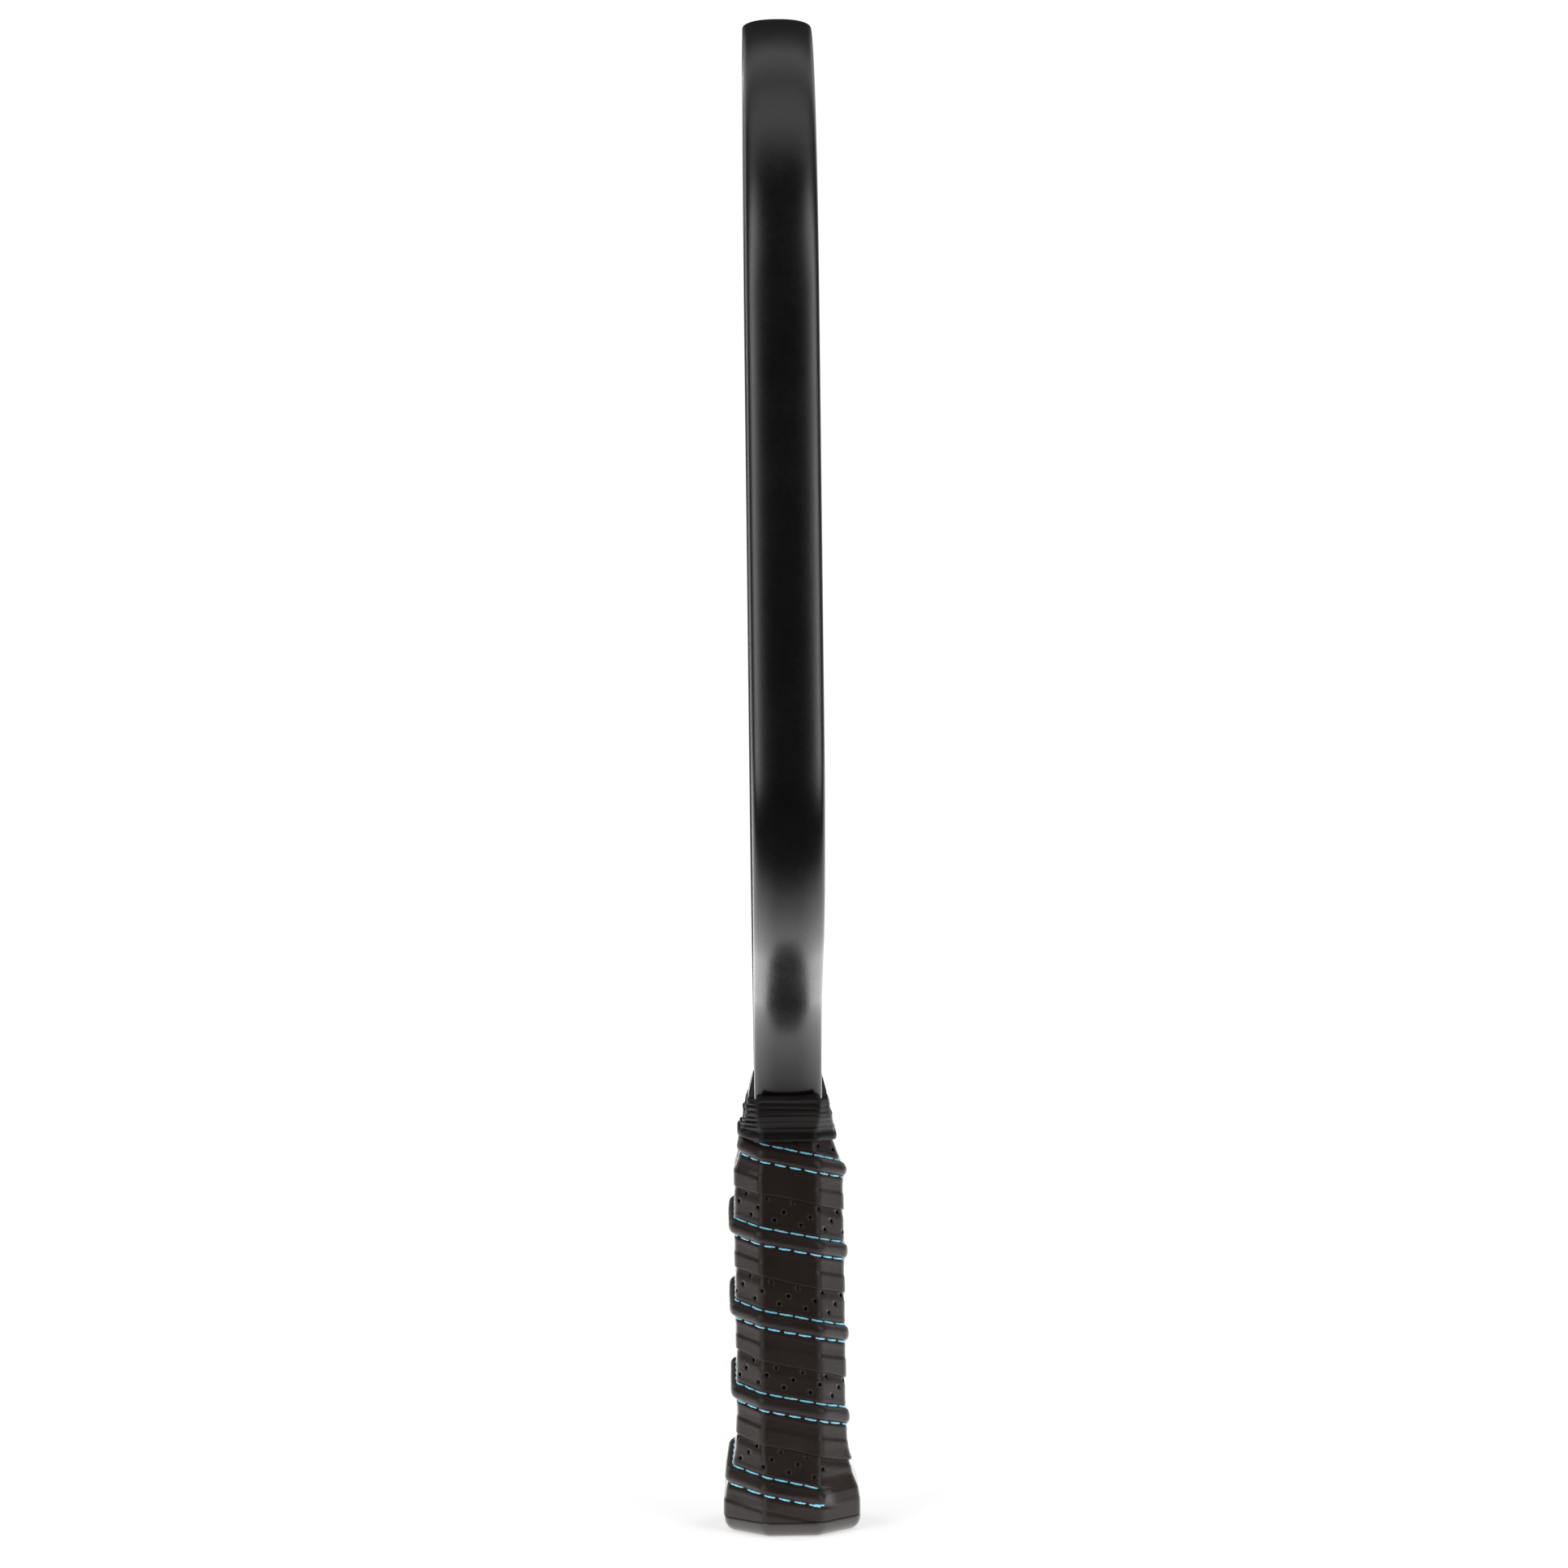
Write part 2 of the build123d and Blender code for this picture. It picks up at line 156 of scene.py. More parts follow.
def octagon(turn, half_x, half_y, cut, radius=CORNER_RADIUS):
    """Points and outward normals at fractions of a turn round a rounded octagon."""
    corners = inner_corners(half_x, half_y, cut, radius)
    corners = [np.stack(np.broadcast_arrays(x, y, turn)[:2], -1) for x, y in corners]
    at = (turn - MARKS[0]) % 1 + MARKS[0]
    piece = np.clip(np.searchsorted(MARKS, at, side="right") - 1, 0, 15)
    share = (at - MARKS[piece]) / (MARKS[piece + 1] - MARKS[piece])
    side = piece // 2
    is_flat = piece % 2 == 0
    angle = np.radians(45 * side + np.where(is_flat, 0, 45 * share))
    normal = np.stack([np.cos(angle), np.sin(angle)], -1)
    stack = np.stack(corners)
    start = np.take_along_axis(stack, side[None, ..., None], 0)[0]
    end = np.take_along_axis(stack, ((side + 1) % 8)[None, ..., None], 0)[0]
    base = np.where(is_flat[..., None], start + share[..., None] * (end - start), end)
    return base + radius * normal, normal


MARKS = octagon_marks()


# ---- Node materials ------------------------------------------------------------------------


def socket_name(word):
    return word.replace("_", " ").title().replace("Ior", "IOR")


class Finish:
    """A Principled material, with short ways to add nodes to it."""

    def __init__(self, name, **sockets):
        self.material = bpy.data.materials.new(name)
        self.material.use_nodes = True
        self.tree = self.material.node_tree
        self.shader = self.tree.nodes["Principled BSDF"]
        for socket, value in sockets.items():
            self.shader.inputs[socket_name(socket)].default_value = value

    def node(self, kind, inputs=None, **settings):
        made = self.tree.nodes.new(kind)
        for key, value in settings.items():
            setattr(made, key, value)
        for key, value in (inputs or {}).items():
            self.feed(made.inputs[key], value)
        return made

    def feed(self, socket, value):
        if isinstance(value, bpy.types.NodeSocket):
            self.tree.links.new(value, socket)
        else:
            socket.default_value = value

    def place(self):
        """Position on the object, in metres."""
        return self.node("ShaderNodeTexCoord").outputs["Object"]

    def noise(self, size, detail=3.0, roughness=0.55, where=None):
        """Noise whose features are about size metres across."""
        where = where or self.place()
        inputs = {"Vector": where, "Scale": 1 / size, "Detail": detail, "Roughness": roughness}
        return self.node("ShaderNodeTexNoise", inputs).outputs["Fac"]

    def stretched(self, where, factors):
        return self.node("ShaderNodeVectorMath", {0: where, 1: factors}, operation="MULTIPLY").outputs[0]

    def math(self, operation, a, b=0.0, c=0.0):
        return self.node("ShaderNodeMath", {0: a, 1: b, 2: c}, operation=operation).outputs[0]

    def remap(self, value, low, high, to_low, to_high):
        inputs = {"Value": value, "From Min": low, "From Max": high, "To Min": to_low, "To Max": to_high}
        return self.node("ShaderNodeMapRange", inputs).outputs["Result"]

    def mix(self, share, first, second):
        inputs = {"Factor": share, "A": first, "B": second}
        made = self.tree.nodes.new("ShaderNodeMix")
        made.data_type = "RGBA"
        for key, value in inputs.items():
            socket = [s for s in made.inputs if s.name == key and s.enabled][0]
            self.feed(socket, value)
        return [s for s in made.outputs if s.enabled][0]

    def bump(self, height, distance, strength=1.0, below=None):
        inputs = {"Height": height, "Distance": distance, "Strength": strength}
        if below:
            inputs["Normal"] = below
        return self.node("ShaderNodeBump", inputs).outputs["Normal"]

    def finish(self, colour=None, roughness=None, normal=None):
        for name, value in (("Base Color", colour), ("Roughness", roughness), ("Normal", normal)):
            if value is not None:
                self.feed(self.shader.inputs[name], value)
        return self.material


def rgb(red, green, blue):
    """A colour given as it looks on screen, from 0 to 255, for a node's linear socket."""
    shown = [c / 255 for c in (red, green, blue)]
    linear = [c / 12.92 if c <= 0.0405 else ((c + 0.055) / 1.055) ** 2.4 for c in shown]
    return (*linear, 1.0)


def guard_material():
    """Satin black polyurethane: fine orange peel, faint handling marks and dust."""
    m = Finish("guard_polyurethane")
    smear = m.noise(14 * MM, 4)
    rub = m.remap(m.noise(1.6 * MM, 5), 0.35, 0.75, 0.0, 1.0)
    colour = m.mix(smear, rgb(9, 8, 8), rgb(12, 11, 11))
    gloss = m.math("ADD", m.remap(smear, 0.3, 0.7, 0.23, 0.28), m.math("MULTIPLY", rub, 0.03))
    peel = m.bump(m.noise(0.55 * MM, 2), 0.012 * MM)
    return m.finish(colour, gloss, m.bump(m.noise(0.09 * MM, 1), 0.004 * MM, below=peel))


def skin_material():
    """Synthetic leather: pebbled grain, fine pores and soft creases, with painted shade in the valleys
    between the grain's pebbles.
    """
    m = Finish("grip_skin", specular_ior_level=0.17)
    where = m.place()
    cells = m.node(
        "ShaderNodeTexVoronoi",
        {"Vector": where, "Scale": 1 / (0.42 * MM), "Randomness": 1.0},
        feature="DISTANCE_TO_EDGE",
    ).outputs["Distance"]
    grain = m.remap(cells, 0.0, 0.35, 0.0, 1.0)
    patches = m.noise(9 * MM, 4)
    wrinkled = m.stretched(where, (1, 1, 3.2))
    crease = m.node(
        "ShaderNodeTexNoise",
        {"Vector": wrinkled, "Scale": 1 / (5.5 * MM), "Detail": 3.0, "Distortion": 0.6},
    ).outputs["Fac"]
    pores = m.remap(m.noise(0.13 * MM, 2), 0.42, 0.58, 0.0, 1.0)
    colour = m.mix(patches, rgb(30, 24, 21), rgb(39, 31, 28))
    # Painted shade: the colour darkens towards the valleys between the grain's pebbles, where the grain bump
    # is lowest.
    colour = m.mix(m.remap(grain, 0.0, 0.5, 0.35, 0.0), colour, rgb(20, 16, 14))
    rough = m.math("ADD", m.remap(patches, 0.3, 0.7, 0.22, 0.30), m.math("MULTIPLY", pores, 0.05))
    normal = m.bump(crease, 0.14 * MM, 0.4)
    normal = m.bump(grain, 0.022 * MM, 0.6, below=normal)
    return m.finish(colour, rough, m.bump(pores, 0.006 * MM, 0.7, below=normal))


def thread_material():
    """Light blue polyester thread: fine fibres, darker between the plies."""
    m = Finish("stitch_thread", sheen_weight=0.3, sheen_roughness=0.35)
    fibres = m.noise(0.10 * MM, 3)
    slow = m.noise(3 * MM, 2)
    colour = m.mix(fibres, rgb(84, 168, 196), rgb(140, 214, 236))
    colour = m.mix(m.remap(slow, 0.35, 0.65, 0.0, 0.35), colour, rgb(150, 205, 225))
    return m.finish(colour, m.remap(fibres, 0.3, 0.7, 0.45, 0.62), m.bump(fibres, 0.03 * MM, 0.8))


def rubber_material():
    """Matt black moulded rubber with a dry bloom and a few lint specks."""
    m = Finish("collar_rubber", specular_ior_level=0.13)
    bloom = m.noise(4 * MM, 5)
    grit = m.noise(0.16 * MM, 2)
    specks = m.remap(m.noise(0.7 * MM, 6, 0.8), 0.70, 0.78, 0.0, 0.25)
    colour = m.mix(bloom, rgb(11, 9, 8), rgb(16, 13, 12))
    colour = m.mix(specks, colour, rgb(120, 112, 106))
    rough = m.remap(bloom, 0.3, 0.7, 0.36, 0.48)
    return m.finish(colour, rough, m.bump(grit, 0.012 * MM, 0.8))


def moulded_material(name, dark, light, gloss, grain_size=0.5 * MM):
    """Moulded plastic with a fine spark-eroded texture and slow gloss changes."""
    m = Finish(name)
    slow = m.noise(10 * MM, 4)
    grain = m.noise(grain_size, 3)
    colour = m.mix(slow, dark, light)
    changing = m.remap(slow, 0.3, 0.7, gloss - 0.04, gloss + 0.04)
    rough = m.math("ADD", changing, m.math("MULTIPLY", grain, 0.04))
    return m.finish(colour, rough, m.bump(grain, 0.02 * MM, 0.7))


def face_material():
    """Fibre laid in a two by two twill under a matt, gritty resin skin."""
    m = Finish("face_fibre")
    tow = 2.1 * MM
    where = m.node("ShaderNodeSeparateXYZ", {"Vector": m.place()})
    wobble = m.math("MULTIPLY", m.math("SUBTRACT", m.noise(14 * MM, 2), 0.5), 0.5)
    across = m.math("ADD", m.math("DIVIDE", where.outputs["X"], tow), wobble)
    along = m.math("ADD", m.math("DIVIDE", where.outputs["Z"], tow), wobble)
    step = m.math("SUBTRACT", m.math("FLOOR", across), m.math("FLOOR", along))
    warp_on_top = m.math("LESS_THAN", m.math("FLOORED_MODULO", step, 4.0), 1.5)
    warp = m.math("SINE", m.math("MULTIPLY", m.math("FRACT", across), math.pi))
    weft = m.math("SINE", m.math("MULTIPLY", m.math("FRACT", along), math.pi))
    weft_on_top = m.math("SUBTRACT", 1.0, warp_on_top)
    weave = m.math("ADD", m.math("MULTIPLY", warp_on_top, warp), m.math("MULTIPLY", weft_on_top, weft))
    grit = m.noise(0.22 * MM, 3, 0.7)
    clouds = m.noise(45 * MM, 5)
    fibre = m.mix(warp_on_top, rgb(38, 38, 40), rgb(52, 52, 55))
    colour = m.mix(m.remap(clouds, 0.35, 0.65, 0.0, 0.5), fibre, rgb(34, 34, 36))
    rough = m.math("ADD", m.math("MULTIPLY", warp_on_top, 0.07), m.remap(grit, 0.3, 0.7, 0.47, 0.60))
    normal = m.bump(weave, 0.05 * MM, 0.9)
    return m.finish(colour, rough, m.bump(grit, 0.035 * MM, 0.9, below=normal))


def inner_material(name, dark, light, gloss, size):
    """Hidden pieces: mottled colour and a little texture."""
    m = Finish(name)
    spots = m.noise(size, 4)
    rough = m.remap(spots, 0.3, 0.7, gloss - 0.05, gloss + 0.05)
    return m.finish(m.mix(spots, dark, light), rough, m.bump(spots, 0.05 * MM, 0.5))


def steel_material():
    """Bright drawn steel wire with fine marks."""
    m = Finish("staple_steel", metallic=1.0)
    marks = m.noise(0.4 * MM, 3)
    colour = m.mix(marks, rgb(150, 150, 155), rgb(190, 190, 196))
    return m.finish(colour, m.remap(marks, 0.3, 0.7, 0.25, 0.4), m.bump(marks, 0.01 * MM, 0.5))


# ---- Edge guard ----------------------------------------------------------------------------

GUARD_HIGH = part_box("edge_guard")[1]
HEAD_HALF_WIDTH = GUARD_HIGH.x
HEAD_TOP = GUARD_HIGH.z
TOP_CORNER_RADIUS = 81 * MM
SIDE_BOTTOM = 206 * MM
SHOULDER_RADIUS = 60 * MM
SHOULDER_SLOPE = math.radians(63)
NECK_FILLET_RADIUS = 45 * MM
NECK_HALF_WIDTH = 19 * MM
GUARD_BOTTOM = 111.2 * MM
GUARD_WEB = 2.2 * MM
GUARD_CROWN = 2.3 * MM
GUARD_FULLNESS = 2.4  # 2 is an ellipse, more is flatter in the middle
GUARD_LIP_WIDTH = 4.2 * MM
GUARD_LIP_THICKNESS = 0.45 * MM
GUARD_STEP = 1.2 * MM  # between the mesh's rows along the outline


def outline():
    """Points and outward normals along the head's outline, from one side of the neck to the other."""
    across, down = math.cos(SHOULDER_SLOPE), math.sin(SHOULDER_SLOPE)
    shoulder = np.array([HEAD_HALF_WIDTH - SHOULDER_RADIUS, SIDE_BOTTOM])
    corner = np.array([HEAD_HALF_WIDTH - TOP_CORNER_RADIUS, HEAD_TOP - TOP_CORNER_RADIUS])
    fillet_x = NECK_HALF_WIDTH + NECK_FILLET_RADIUS
    gap = SHOULDER_RADIUS + NECK_FILLET_RADIUS + across * (shoulder[0] - fillet_x)
    fillet = np.array([fillet_x, shoulder[1] - gap / down])
    slope = np.array([across, -down])
    points, normals = [], []

    def straight(start, end, normal):
        count = max(1, round(float(np.linalg.norm(end - start)) / GUARD_STEP))
        for share in np.arange(count) / count:
            points.append(start + share * (end - start))
            normals.append(normal)

    def bend(centre, radius, first, last, side):
        count = max(1, round(abs(last - first) * radius / GUARD_STEP))
        for angle in first + (last - first) * np.arange(count) / count:
            away = np.array([math.cos(angle), math.sin(angle)])
            points.append(centre + radius * away)
            normals.append(side * away)

    out = np.array([1.0, 0.0])
    up = np.array([0.0, 1.0])
    start = math.asin((GUARD_BOTTOM - fillet[1]) / NECK_FILLET_RADIUS)
    bend(fillet, NECK_FILLET_RADIUS, math.pi - start, math.pi - SHOULDER_SLOPE, -1)
    straight(fillet - NECK_FILLET_RADIUS * slope, shoulder + SHOULDER_RADIUS * slope, slope)
    bend(shoulder, SHOULDER_RADIUS, -SHOULDER_SLOPE, 0, 1)
    straight(shoulder + SHOULDER_RADIUS * out, corner + TOP_CORNER_RADIUS * out, out)
    bend(corner, TOP_CORNER_RADIUS, 0, math.pi / 2, 1)
    straight(corner + TOP_CORNER_RADIUS * up, np.array([0.0, HEAD_TOP]), up)
    flip = np.array([-1.0, 1.0])
    half = np.array(points), np.array(normals)
    top = np.array([[0.0, HEAD_TOP]]), up[None]
    other = half[0][::-1] * flip, half[1][::-1] * flip
    return [np.concatenate(parts) for parts in zip(half, top, other)]


def guard_section():
    """The channel's section as distances outwards from the outline and along Y, once round."""
    half = GUARD_HIGH.y
    web, lip_end, lip_thickness = GUARD_WEB, GUARD_WEB + GUARD_LIP_WIDTH, GUARD_LIP_THICKNESS
    turn = np.linspace(-1, 1, 41)
    side = np.sin(turn * math.pi / 2)
    back = [(-GUARD_CROWN * (1 - math.sqrt(1 - abs(y) ** GUARD_FULLNESS)), half * y) for y in side]
    nose = np.linspace(0, math.pi / 2, 5)
    tip = []
    for t in nose[::-1]:
        tip.append((lip_thickness * (1 - math.sin(t)) - lip_end, half - lip_thickness * (1 - math.cos(t))))
    face = half - lip_thickness
    upper = [((-GUARD_CROWN - lip_end) / 2, half)] + tip + [(-(lip_end + web) / 2, face), (-web, face)]
    lower = [(x, -y) for x, y in reversed(upper)]
    return back + upper + lower


def make_guard():
    points, normals = outline()
    section = np.array(guard_section())
    rows = []
    for (x, z), (nx, nz) in zip(points, normals):
        for out, y in section:
            rows.append((x + out * nx, y, z + out * nz))
    faces = grid_faces(len(points), len(section), around=True)
    last = (len(points) - 1) * len(section)
    faces.append(tuple(range(len(section))))
    faces.append(tuple(last + k for k in reversed(range(len(section)))))
    guard = new_mesh("edge_guard_channel", rows, faces)
    return adopt(guard, ["edge_guard"], guard_material())


# ---- Grip tape -----------------------------------------------------------------------------

HOLE_RADIUS = 0.54 * MM
HOLE_DEPTH = 0.95 * MM
HOLE_ROWS = [0.75 * MM, 3.2 * MM, 5.65 * MM]  # below the overlap edge
HOLE_COLUMNS = 14  # between two holes of a row
LAP = 4.4 * MM  # how much of each turn lies on the next one
TAPE_START_TURN = -0.76
TAPE_END_TURN = 4.9
STITCH_GROOVE = 0.28 * MM
LAP_RISE = 0.2 * MM
EDGE_STEP = 0.45 * MM
CURL_TURN = 3.19  # here the lower edge curls up a little
CURL_RISE = 0.55 * MM


def edge_height(turn):
    """Height of the tape's upper, covered edge line at a turn."""
    return RIB_FRONT_HEIGHT + EDGE_ABOVE_RIB - PITCH * turn


def rib_strength(turn, height):
    """1 where the rib is full, fading under the collar and at the tape's skived end."""
    end = 1 - smoothstep(RIB_END_TURN - 0.01, RIB_END_TURN + 0.03, turn)
    return end * (1 - smoothstep(COLLAR_BOTTOM + 1.6 * MM, COLLAR_BOTTOM + 3 * MM, height))


def rib_rise(turn):
    """The rib's height: fullest over the middle of the front face, flattest over the back one."""
    front = np.cos(2 * math.pi * (turn + 0.25)) ** 3
    return RIB_HEIGHT * (1 + 0.22 * np.maximum(front, 0) - 0.4 * np.maximum(-front, 0))


def tape_relief(turn, down, height):
    """How far the skin stands off the wrapped handle, at a distance down from the overlap edge."""
    rib = (down - EDGE_ABOVE_RIB) / (STITCH_OFFSET * 0.93)
    full = rib_strength(turn, height)
    bump = rib_rise(turn) * np.clip(1 - np.abs(rib) ** 2.3, 0, 1) ** 0.62
    relief = full * bump
    for side in (-1, 1):
        away = (down - EDGE_ABOVE_RIB - side * STITCH_OFFSET) / (0.42 * MM)
        relief = relief - full * STITCH_GROOVE * np.exp(-(away**2))
        shoulder = (down - EDGE_ABOVE_RIB - side * STITCH_OFFSET * 1.45) / (0.7 * MM)
        relief = relief + full * 0.10 * MM * np.exp(-(shoulder**2))
    tucked = 1 - smoothstep(0, 2.6 * MM, down)
    relief = relief - (EDGE_STEP - 0.1 * MM) * tucked
    lap = smoothstep(PITCH - LAP - 0.6 * MM, PITCH - LAP + 0.5 * MM, down)
    curl = np.exp(-(((turn - CURL_TURN) / 0.035) ** 2)) * smoothstep(PITCH - 3 * MM, PITCH, down)
    return relief + LAP_RISE * lap + CURL_RISE * curl


def wander(turn, down):
    """Hand-wound unevenness of the surface, repeatable and slow."""
    slow = np.sin(2 * math.pi * (turn * 2.31 + 0.3))
    quick = np.sin(2 * math.pi * (turn * 5.17 + down / (17 * MM)))
    return 0.06 * MM * (slow + 0.6 * quick)


def edge_wander(turn):
    """How far the visible lower edge of each turn strays from its helix."""
    return 0.45 * MM * np.sin(2 * math.pi * (turn * 1.13 + 0.1)) + 0.2 * MM * np.sin(2 * math.pi * turn * 4.3)


def tape_rows():
    """Distances down from the overlap edge: close together at the edge, holes, rib and stitches."""
    tucked = [(-1.0, 0.5), (0.0, 0.25), (0.28, 0.47)]
    rib_and_stitches = [(6.12, 0.42), (7.4, 0.2)]
    plain_and_lap = [(13.6, 0.45), (16.4, 0.3), (18.2, 0.5), (21.0, 0.14)]
    stops = tucked + rib_and_stitches + plain_and_lap
    end = 21.7
    rows = []
    for (low, step), (high, _) in zip(stops, stops[1:] + [(end, 0)]):
        count = max(1, round((high - low) / step))
        rows += [low + (high - low) * k / count for k in range(count)]
    return np.array(rows + [end]) * MM


def on_wrap(turn, height, lift):
    """Points of the wrapped grip at turns and heights, lifted off along its normal, and normals."""
    sizes = wrap_sizes(height)
    flat, normal = octagon(turn, *sizes)
    place = flat + lift[..., None] * normal
    return np.concatenate([place, height[..., None]], -1), normal


def make_tape():
    """The skin as one strip wound down the handle, each turn lying on the next one's upper edge."""
    rows = tape_rows()
    first = round(TAPE_START_TURN * COLUMNS)
    last = round(TAPE_END_TURN * COLUMNS)
    turn, down = np.meshgrid(np.arange(first, last + 1) / COLUMNS, rows, indexing="ij")
    lower_slack = edge_wander(turn + 1) * smoothstep(PITCH - LAP, PITCH, down)
    upper_slack = edge_wander(turn) * (1 - smoothstep(0, LAP, down))
    slack = lower_slack + upper_slack
    height = edge_height(turn) - down + slack
    lift = tape_relief(turn, down, height) + wander(turn, down)
    rounding = smoothstep(PITCH - 0.5 * MM, PITCH, down)
    lift = lift - rounding**3 * (LAP_RISE + EDGE_STEP)
    under = smoothstep(-1.0 * MM, 0.0, down)
    lift = lift - (1 - under) * 0.3 * MM
    height = np.clip(height, RIM_HEIGHT + 0.1 * MM, WRAP_TOP)
    hem = 1 - smoothstep(RIM_HEIGHT, RIM_HEIGHT + 0.9 * MM, height)
    lift = lift - hem**2 * 0.05 * MM
    points, normal = on_wrap(turn, height, lift)
    points = points.reshape(-1, 3)
    normal = normal.reshape(-1, 2)
    faces, points, first_well = punched(points, normal, turn.shape, first, rows, height)
    tape = new_mesh("grip_tape_skin", points, faces, flat_from=first_well)
    adopt(tape, ["grip_tape"], skin_material())
    return tape


def punched(points, normal, shape, first, rows, height):
    """Faces of the tape's grid with its perforations cut in as small round wells, which come last."""
    columns_along, across = shape
    points = [np.array(p) for p in points]
    skipped = set()
    wells = []
    for row_number, below in enumerate(HOLE_ROWS):
        j = int(np.argmin(np.abs(rows - below)))
        for i in range(columns_along):
            at = i + first
            if at % HOLE_COLUMNS != (row_number % 2) * (HOLE_COLUMNS // 2) + 2 * row_number % HOLE_COLUMNS:
                continue
            if i < 2 or i > columns_along - 3 or at / COLUMNS > RIB_END_TURN + 0.02:
                continue
            if not RIM_HEIGHT + 2 * MM < height[i, j] < WRAP_TOP - 2 * MM:
                continue
            wells.append((i, j))
            skipped |= {(i - 1, j - 1), (i - 1, j), (i, j - 1), (i, j)}
    faces = []
    for i in range(columns_along - 1):
        for j in range(across - 1):
            pressed_flat = height[i, j] == height[i, j + 1] and height[i + 1, j] == height[i + 1, j + 1]
            if (i, j) in skipped or pressed_flat:
                continue
            a = i * across + j
            faces.append((a, a + 1, a + across + 1, a + across))
    first_well = len(faces)
    ring = [(-1, -1), (-1, 0), (-1, 1), (0, 1), (1, 1), (1, 0), (1, -1), (0, -1)]
    for i, j in wells:
        middle = points[i * across + j].copy()
        out = np.array([*normal[i * across + j], 0.0])
        side = np.array([-out[1], out[0], 0.0])
        up = np.array([0.0, 0.0, 1.0])
        rim = [(i + di) * across + j + dj for di, dj in ring]
        starts = []
        for depth, wide in ((0.12, 0.93), (1.0, 0.86)):
            starts.append(len(points))
            for di, dj in ring:
                angle = math.atan2(-dj, di)
                reach = HOLE_RADIUS * wide * (math.cos(angle) * side + math.sin(angle) * up)
                points.append(middle + reach - depth * HOLE_DEPTH * out)
        for (di, dj), k in zip(ring, rim):
            angle = math.atan2(-dj, di)
            flat = middle + HOLE_RADIUS * (math.cos(angle) * side + math.sin(angle) * up)
            points[k] = flat + np.dot(points[k] - middle, out) * out
        levels = [rim, list(range(starts[0], starts[0] + 8)), list(range(starts[1], starts[1] + 8))]
        for upper, lower in zip(levels, levels[1:]):
            for k in range(8):
                faces.append((upper[k], upper[(k + 1) % 8], lower[(k + 1) % 8], lower[k]))
        faces.append(tuple(levels[2]))
    return faces, points, first_well


# ---- Rib cord and stitches -----------------------------------------------------------------

CORD_RADIUS = 0.45 * MM
THREAD_RADIUS = 0.25 * MM
STITCH_PITCH = 4.02 * MM
TURN_LENGTH = 107.5 * MM  # round the grip, along the tape


def surface_height(turn, down):
    """Height on the handle of a line of the tape, some way down from its overlap edge."""
    return edge_height(turn) - down


def tube(points, radii, sides, out_of=None, twist=0.0, plies=0.0):
    """Rings of a tube along a line of points, and its faces with closed ends."""
    count = len(points)
    ahead = np.gradient(points, axis=0)
    ahead /= np.linalg.norm(ahead, axis=1)[:, None]
    across = np.cross(ahead, out_of)
    across /= np.linalg.norm(across, axis=1)[:, None]
    up = np.cross(across, ahead)
    angle = np.arange(sides) / sides * 2 * math.pi
    rings = []
    for k in range(count):
        swell = 1 + plies * np.cos(3 * (angle - twist * k))
        ring = np.cos(angle)[:, None] * across[k] + np.sin(angle)[:, None] * up[k]
        rings.append(points[k] + ring * (radii[k] * swell)[:, None])
    faces = grid_faces(count, sides, around=True)
    faces.append(tuple(reversed(range(sides))))
    faces.append(tuple((count - 1) * sides + k for k in range(sides)))
    return np.concatenate(rings), faces


def make_rib_cord():
    """The soft cord inside the rib, out of sight."""
    turn = np.arange(-0.19, RIB_END_TURN - 0.02, 1 / COLUMNS)
    height = surface_height(turn, EDGE_ABOVE_RIB)
    lift = rib_rise(turn) - CORD_RADIUS - 0.2 * MM
    points, normal = on_wrap(turn, height, lift)
    out = np.concatenate([normal, np.zeros((len(turn), 1))], 1)
    rings, faces = tube(points, np.full(len(turn), CORD_RADIUS), 12, out)
    cord = new_mesh("rib_core_cord", rings, faces)
    foam = inner_material("rib_foam", rgb(40, 40, 40), rgb(70, 70, 70), 0.7, 1 * MM)
    return adopt(cord, ["rib_cord"], foam)


def make_stitches(name, node, offset, length, shift):
    """One line of separate stitches, each rising out of the skin and going back in."""
    random = np.random.default_rng(7 if offset > 0 else 11)
    step = STITCH_PITCH / TURN_LENGTH
    points, faces = [], []
    steps = 13
    start = (offset - 2.2 * MM) / PITCH - 0.15 if offset < 0 else -0.15
    turns = np.arange(RIB_END_TURN - shift, start, -step)
    for number, end in enumerate(turns):
        along = np.linspace(0, 1, steps)
        span = length * (1 + 0.05 * random.standard_normal()) / TURN_LENGTH
        turn = end - span + along * span
        lean = 0.10 * MM * random.standard_normal()
        down = np.full(steps, EDGE_ABOVE_RIB + offset) + lean * (along - 0.5)
        height = surface_height(turn, down)
        if height.max() > COLLAR_BOTTOM + 0.6 * MM:
            continue
        arch = np.sin(math.pi * along) ** 0.38
        lift = -0.55 * MM + 0.57 * MM * arch + 0.03 * MM * random.standard_normal()
        line, normal = on_wrap(turn, height, lift)
        out = np.concatenate([normal, np.zeros((steps, 1))], 1)
        radii = THREAD_RADIUS * (0.62 + 0.38 * arch)
        rings, quads = tube(line, radii, 15, out, twist=0.42, plies=0.13)
        faces += [tuple(k + len(points) for k in face) for face in quads]
        points += list(rings)
        if number == 0 and offset > 0:
            points, faces = doubled(points, faces, rings, quads)
    stitches = new_mesh(name, points, faces)
    return adopt(stitches, [node], THREAD)


def doubled(points, faces, rings, quads):
    """A second stitch beside the last one, where the seam is back-stitched at its end."""
    moved = rings + np.array([0.25 * MM, 0.9 * MM, 0.35 * MM])
    faces = faces + [tuple(k + len(points) for k in face) for face in quads]
    return points + list(moved), faces


# ---- Collar --------------------------------------------------------------------------------

COLLAR_COLUMNS = 300
COLLAR_LIFT = 1.3 * MM  # of its lower lip where the first rib comes out from under it
